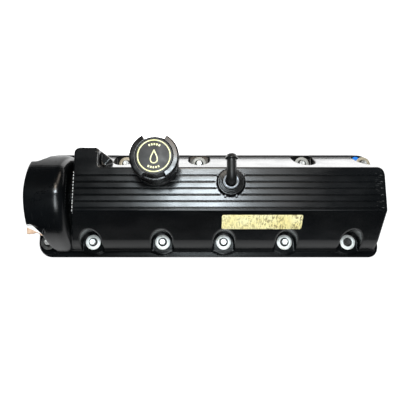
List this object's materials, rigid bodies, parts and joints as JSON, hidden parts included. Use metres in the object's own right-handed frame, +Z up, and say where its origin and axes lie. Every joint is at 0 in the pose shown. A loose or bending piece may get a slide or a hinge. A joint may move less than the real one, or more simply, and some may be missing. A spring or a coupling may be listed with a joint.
{
  "type": "valve cover",
  "caption": "Black cast valve cover for one bank of a V engine, with gasket, captive bolts, twist-off oil filler cap, breather valve with swivelling hose elbow, and oil baffle.",
  "frame": {"origin": "centre of the overall box, on the plane through the tips of the captive bolts", "axes": "+X along the engine away from the timing end, +Y inboard across the cover, +Z up out of the sealing face"},
  "size_m": [0.518, 0.162, 0.139],
  "materials": {
    "black_paint": "gloss black paint over cast aluminium, lightly orange-peeled",
    "gasket_rubber": "matt moulded rubber",
    "seal_rubber": "satin moulded rubber",
    "zinc_plate": "pressed steel, pale yellowish zinc",
    "bolt_zinc": "bright zinc-plated steel",
    "sheet_steel": "oily pressed sheet steel",
    "screw_steel": "plain steel",
    "black_plastic": "satin glass-filled nylon",
    "cap_plastic": "satin moulded nylon, fine grain",
    "badge_plastic": "dark grey face with pale yellow ring and plain drop symbol",
    "valve_plastic": "semi-gloss nylon",
    "elbow_plastic": "satin nylon",
    "turned_steel": "turned steel",
    "spring_steel": "bright spring wire",
    "ring_steel": "bright steel ring",
    "label_stock": "pale yellow printed film, smudged and worn"
  },
  "bodies": {
    "cover": {"cover_shell": "black_paint", "perimeter_gasket": "gasket_rubber", "isolator_1": "gasket_rubber", "washer_1": "zinc_plate", "bolt_1": "bolt_zinc", "isolator_2": "gasket_rubber", "washer_2": "zinc_plate", "bolt_2": "bolt_zinc", "isolator_3": "gasket_rubber", "washer_3": "zinc_plate", "bolt_3": "bolt_zinc", "isolator_4": "gasket_rubber", "washer_4": "zinc_plate", "bolt_4": "bolt_zinc", "isolator_5": "gasket_rubber", "washer_5": "zinc_plate", "bolt_5": "bolt_zinc", "isolator_6": "gasket_rubber", "washer_6": "zinc_plate", "bolt_6": "bolt_zinc", "isolator_7": "gasket_rubber", "washer_7": "zinc_plate", "bolt_7": "bolt_zinc", "isolator_8": "gasket_rubber", "washer_8": "zinc_plate", "bolt_8": "bolt_zinc", "isolator_9": "gasket_rubber", "washer_9": "zinc_plate", "bolt_9": "bolt_zinc", "isolator_10": "gasket_rubber", "washer_10": "zinc_plate", "bolt_10": "bolt_zinc", "isolator_11": "gasket_rubber", "washer_11": "zinc_plate", "bolt_11": "bolt_zinc", "oil_baffle": "sheet_steel", "baffle_screw_1": "screw_steel", "baffle_screw_2": "screw_steel", "baffle_screw_3": "screw_steel", "baffle_screw_4": "screw_steel", "baffle_screw_5": "screw_steel", "baffle_screw_6": "screw_steel", "filler_neck": "black_plastic", "neck_collar": "black_plastic", "filler_neck_seal": "seal_rubber", "pcv_valve_seal": "seal_rubber", "label_plate": "label_stock"},
    "cap_seal_ring": {"oil_cap_seal": "seal_rubber"},
    "filler_cap": {"oil_cap": "cap_plastic", "oil_cap_sleeve": "cap_plastic", "oil_cap_badge": "badge_plastic"},
    "breather_valve": {"pcv_valve_body": "valve_plastic", "pcv_spring_stop": "black_plastic", "pcv_retaining_ring": "ring_steel"},
    "hose_elbow": {"pcv_elbow": "elbow_plastic"},
    "plunger": {"pcv_plunger": "turned_steel", "pcv_spring": "spring_steel"}
  },
  "joints": [
    {"name": "oil_cap_lift", "type": "slide", "parent": "cover", "child": "cap_seal_ring", "axis": [0, 0, 1], "range_m": [0, 0.055]},
    {"name": "oil_cap_turn", "type": "hinge", "parent": "cap_seal_ring", "child": "filler_cap", "pos_m": [-0.0742, 0.0444, 0.13], "axis": [0, 0, 1], "range_deg": [0, 90]},
    {"name": "breather_valve_turn", "type": "hinge", "parent": "cover", "child": "breather_valve", "pos_m": [0.0313, 0.019, 0.09], "axis": [0, 0, 1], "range_deg": [0, 90]},
    {"name": "elbow_swivel", "type": "hinge", "parent": "breather_valve", "child": "hose_elbow", "pos_m": [0.0313, 0.019, 0.1], "axis": [0, 0, 1], "continuous": true},
    {"name": "valve_plunger_travel", "type": "slide", "parent": "breather_valve", "child": "plunger", "axis": [0, 0, 1], "range_m": [0, 0.004], "stiffness_N_per_m": 150, "springref_m": -0.004, "deforming": ["pcv_spring"]}
  ]
}
